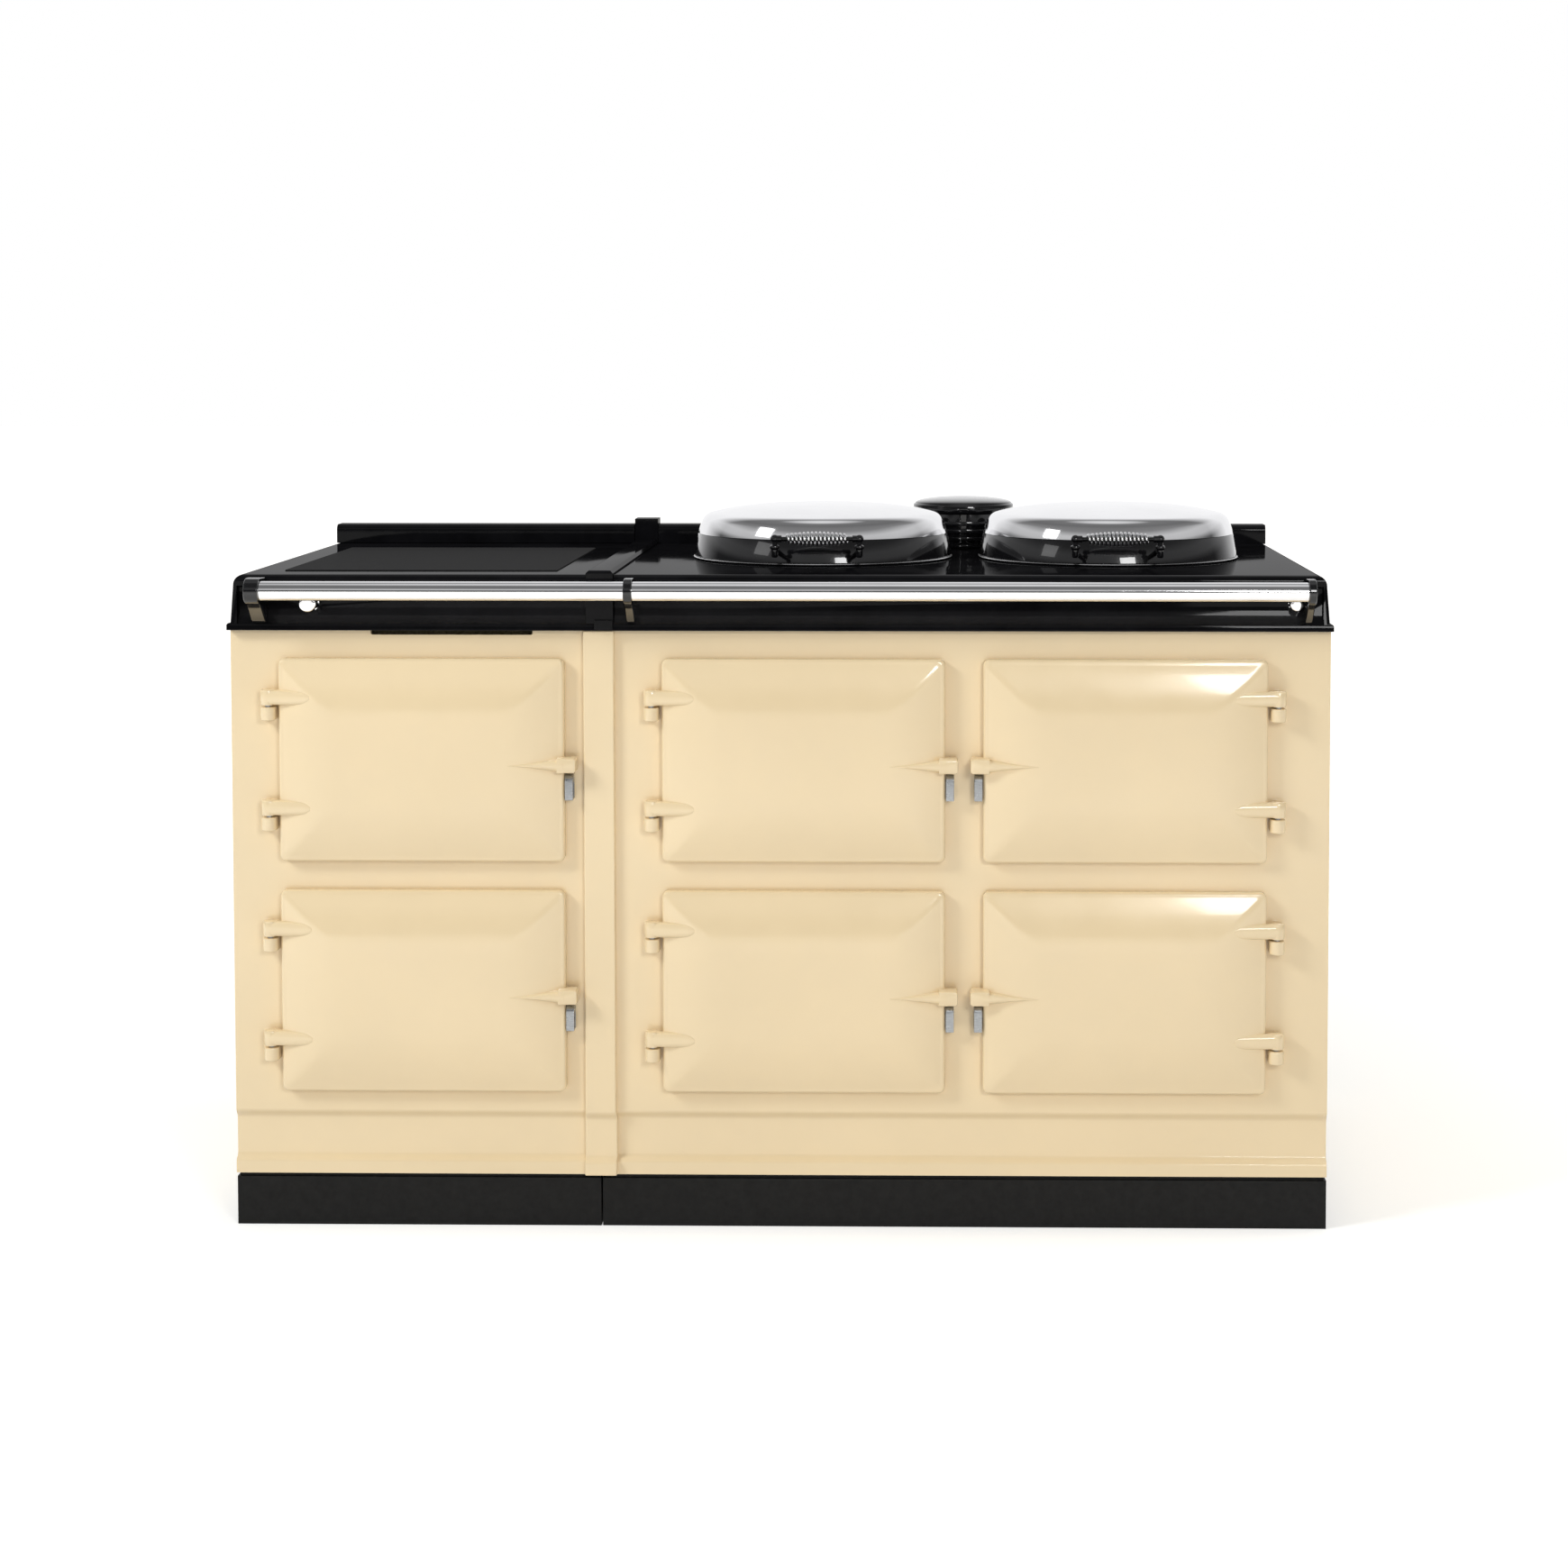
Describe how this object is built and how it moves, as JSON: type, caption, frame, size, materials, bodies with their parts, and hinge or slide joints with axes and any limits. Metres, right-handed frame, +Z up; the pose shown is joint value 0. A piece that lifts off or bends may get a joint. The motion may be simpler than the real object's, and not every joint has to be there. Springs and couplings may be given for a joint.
{
  "type": "cast iron range cooker",
  "caption": "Cast iron range cooker with a two-oven side module, crowned doors, domed hotplate lids with coil handles, a warming plate and towel rails.",
  "frame": {"origin": "Centre of the bounding box in plan, at floor level, the centre of the footprint with the rails counted in", "axes": "+X along the front to the right as the cook sees it, +Y from the front to the wall, +Z up"},
  "size_m": [1.482, 0.6984, 0.9668],
  "materials": {
    "cream_enamel": "gloss vitreous enamel",
    "black_enamel": "gloss vitreous enamel",
    "matte_black": "satin black paint",
    "chrome": "polished plate",
    "spring_steel": "bright",
    "satin_plate": "satin",
    "cast_iron": "machined and oiled",
    "zinc_plate": "galvanised sheet",
    "aluminium": "pressed sheet",
    "mineral_wool": "mineral wool block"
  },
  "bodies": {
    "cabinet": {"plinth_left": "matte_black", "plinth_right": "matte_black", "base_frames": "matte_black", "front_plate_left": "cream_enamel", "front_plate_right": "cream_enamel", "junction_cover": "cream_enamel", "side_panels": "cream_enamel", "back_panels": "zinc_plate", "cable_gland": "matte_black", "hob_left": "black_enamel", "hob_right": "black_enamel", "junction_strip": "black_enamel", "upstand_left": "black_enamel", "upstand_right": "black_enamel", "warming_plate": "satin_plate", "boiling_plate": "cast_iron", "simmering_plate": "cast_iron", "flue_neck": "black_enamel", "flue_cap": "black_enamel", "rail_left": "chrome", "rail_right": "chrome", "rail_brackets": "black_enamel", "plate_warming_oven": "cast_iron", "slow_oven": "cast_iron", "roasting_oven": "cast_iron", "baking_oven": "cast_iron", "simmering_oven": "cast_iron", "control_box": "zinc_plate", "oven_shelves": "chrome", "heating_elements": "cast_iron", "insulation": "mineral_wool", "hinge_blocks": "cream_enamel", "hinge_pins": "spring_steel", "door_catches": "spring_steel", "lid_hinge_brackets": "black_enamel", "lid_hinge_pins": "spring_steel"},
    "plate_warming_door_body": {"plate_warming_door": "cream_enamel", "plate_warming_door_lining": "aluminium"},
    "slow_door_body": {"slow_door": "cream_enamel", "slow_door_lining": "aluminium"},
    "control_door_body": {"control_door": "cream_enamel", "control_door_lining": "aluminium"},
    "baking_door_body": {"baking_door": "cream_enamel", "baking_door_lining": "aluminium"},
    "roasting_door_body": {"roasting_door": "cream_enamel", "roasting_door_lining": "aluminium"},
    "simmering_door_body": {"simmering_door": "cream_enamel", "simmering_door_lining": "aluminium"},
    "boiling_lid_body": {"boiling_lid_dome": "chrome", "boiling_lid_band": "black_enamel", "boiling_lid_lining": "chrome", "boiling_lid_bar": "black_enamel", "boiling_lid_coil": "chrome"},
    "simmering_lid_body": {"simmering_lid_dome": "chrome", "simmering_lid_band": "black_enamel", "simmering_lid_lining": "chrome", "simmering_lid_bar": "black_enamel", "simmering_lid_coil": "chrome"},
    "left_knob_body": {"left_knob": "chrome"},
    "right_knob_body": {"right_knob": "chrome"}
  },
  "joints": [
    {"name": "plate_warming_door_hinge", "type": "hinge", "parent": "cabinet", "child": "plate_warming_door_body", "pos_m": [-0.686, -0.29575, 0.638], "axis": [0, 0, -1], "range_deg": [0, 110]},
    {"name": "slow_door_hinge", "type": "hinge", "parent": "cabinet", "child": "slow_door_body", "pos_m": [-0.686, -0.29575, 0.325], "axis": [0, 0, -1], "range_deg": [0, 110]},
    {"name": "control_door_hinge", "type": "hinge", "parent": "cabinet", "child": "control_door_body", "pos_m": [-0.171, -0.29575, 0.638], "axis": [0, 0, -1], "range_deg": [0, 110]},
    {"name": "baking_door_hinge", "type": "hinge", "parent": "cabinet", "child": "baking_door_body", "pos_m": [-0.171, -0.29575, 0.325], "axis": [0, 0, -1], "range_deg": [0, 110]},
    {"name": "roasting_door_hinge", "type": "hinge", "parent": "cabinet", "child": "roasting_door_body", "pos_m": [0.668, -0.29575, 0.638], "axis": [0, 0, 1], "range_deg": [0, 110]},
    {"name": "simmering_door_hinge", "type": "hinge", "parent": "cabinet", "child": "simmering_door_body", "pos_m": [0.668, -0.29575, 0.325], "axis": [0, 0, 1], "range_deg": [0, 110]},
    {"name": "boiling_lid_hinge", "type": "hinge", "parent": "cabinet", "child": "boiling_lid_body", "pos_m": [0.0465, 0.25125, 0.912], "axis": [-1, 0, 0], "range_deg": [0, 95]},
    {"name": "simmering_lid_hinge", "type": "hinge", "parent": "cabinet", "child": "simmering_lid_body", "pos_m": [0.4615, 0.25125, 0.912], "axis": [-1, 0, 0], "range_deg": [0, 95]},
    {"name": "left_knob_turn", "type": "hinge", "parent": "cabinet", "child": "left_knob_body", "pos_m": [-0.63, -0.28675, 0.8505], "axis": [0, -1, 0], "range_deg": [0, 270]},
    {"name": "right_knob_turn", "type": "hinge", "parent": "cabinet", "child": "right_knob_body", "pos_m": [0.69, -0.28675, 0.8505], "axis": [0, -1, 0], "range_deg": [0, 270]}
  ]
}
